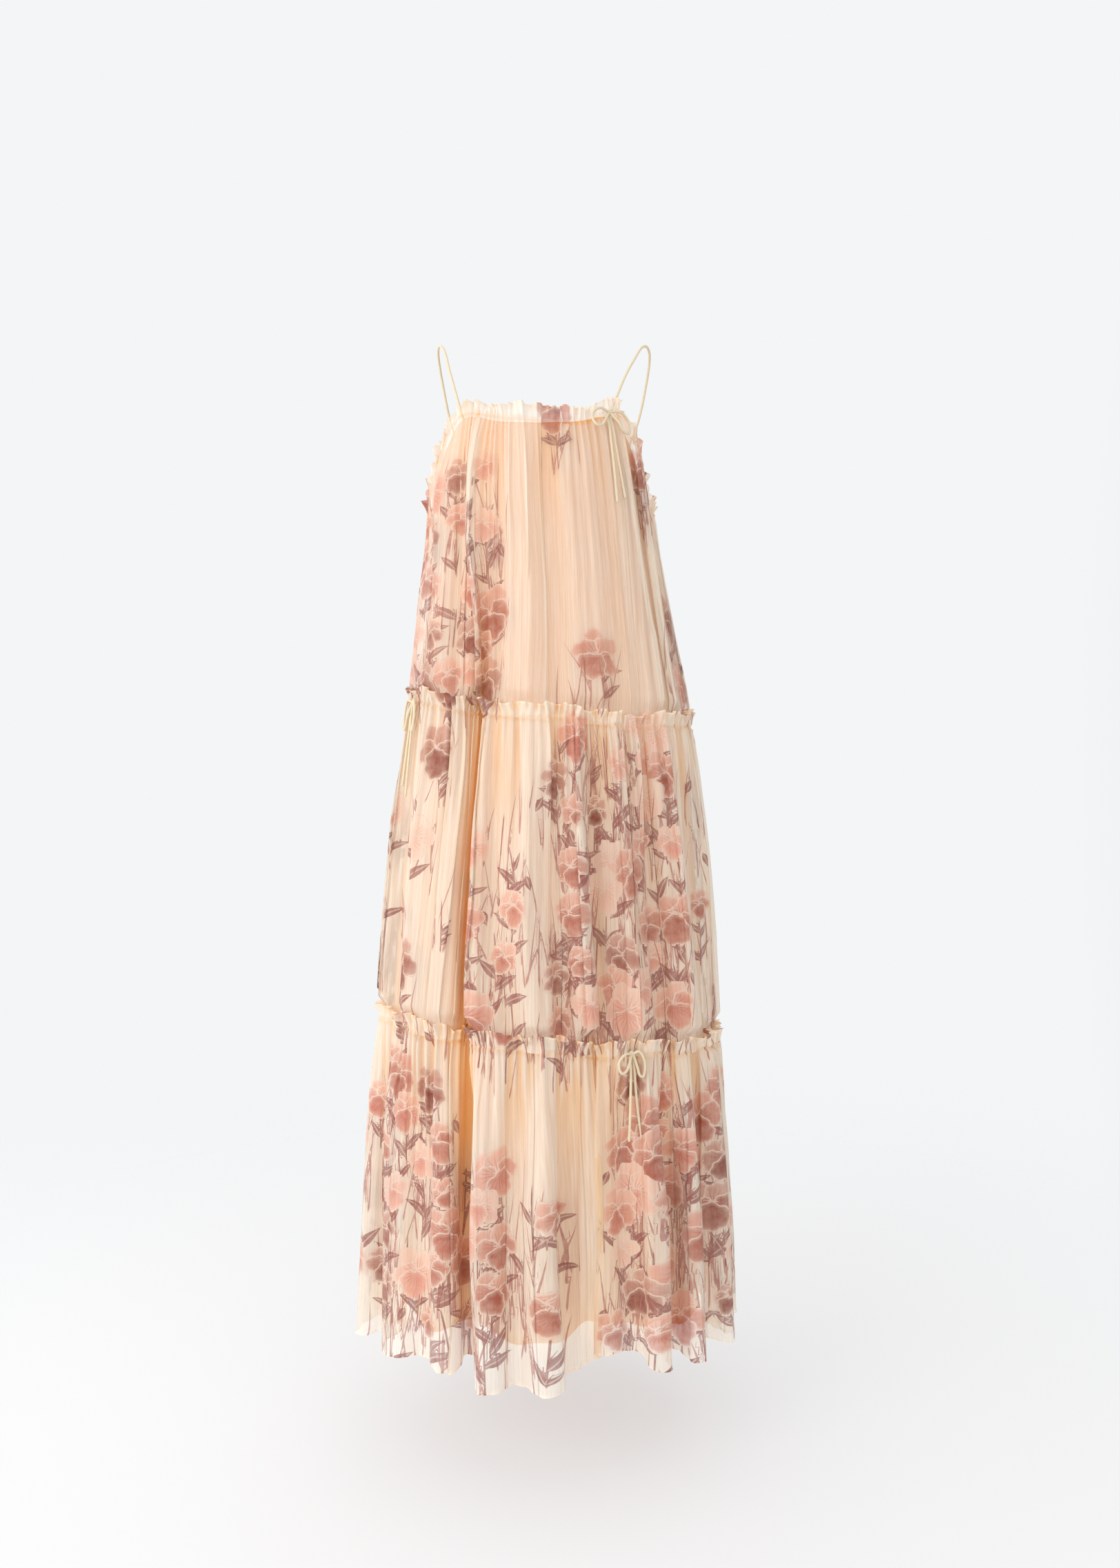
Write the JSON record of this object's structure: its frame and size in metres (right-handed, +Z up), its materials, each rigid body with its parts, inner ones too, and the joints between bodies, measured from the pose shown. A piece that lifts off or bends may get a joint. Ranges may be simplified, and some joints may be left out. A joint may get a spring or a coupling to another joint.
{
  "type": "maxi dress",
  "caption": "Hollow worn-shape maxi dress: thin straps, three gathered tiers with frilled drawstring seams and bows, over a plain slip lining, open at neck, armholes and hem.",
  "frame": {"origin": "midway between the tops of the two straps, where the wearer's shoulders hold the dress up", "axes": "+Z up, the front of the dress faces -Y, +X is the wearer's left"},
  "size_m": [0.4787, 0.423, 1.293],
  "materials": {
    "chiffon": "sheer crinkled silk chiffon, peach cream, with a soft floral print in dusty rose and mauve brown",
    "lining": "smooth peach slip lining",
    "rouleau": "cream bias-cut rouleau cord"
  },
  "bodies": {
    "root": {"upper_tier_front": "chiffon", "upper_tier_back": "chiffon", "middle_tier_front": "chiffon", "middle_tier_back": "chiffon", "lower_tier_front": "chiffon", "lower_tier_back": "chiffon", "lining_front": "lining", "lining_back": "lining", "strap_left": "rouleau", "strap_right": "rouleau", "neck_bow_knot": "rouleau", "neck_bow_loop_left": "rouleau", "neck_bow_loop_right": "rouleau", "neck_bow_tail_left": "rouleau", "neck_bow_tail_right": "rouleau", "hip_bow_knot": "rouleau", "hip_bow_loop_left": "rouleau", "hip_bow_loop_right": "rouleau", "hip_bow_tail_left": "rouleau", "hip_bow_tail_right": "rouleau", "knee_bow_knot": "rouleau", "knee_bow_loop_left": "rouleau", "knee_bow_loop_right": "rouleau", "knee_bow_tail_left": "rouleau", "knee_bow_tail_right": "rouleau"}
  },
  "joints": []
}
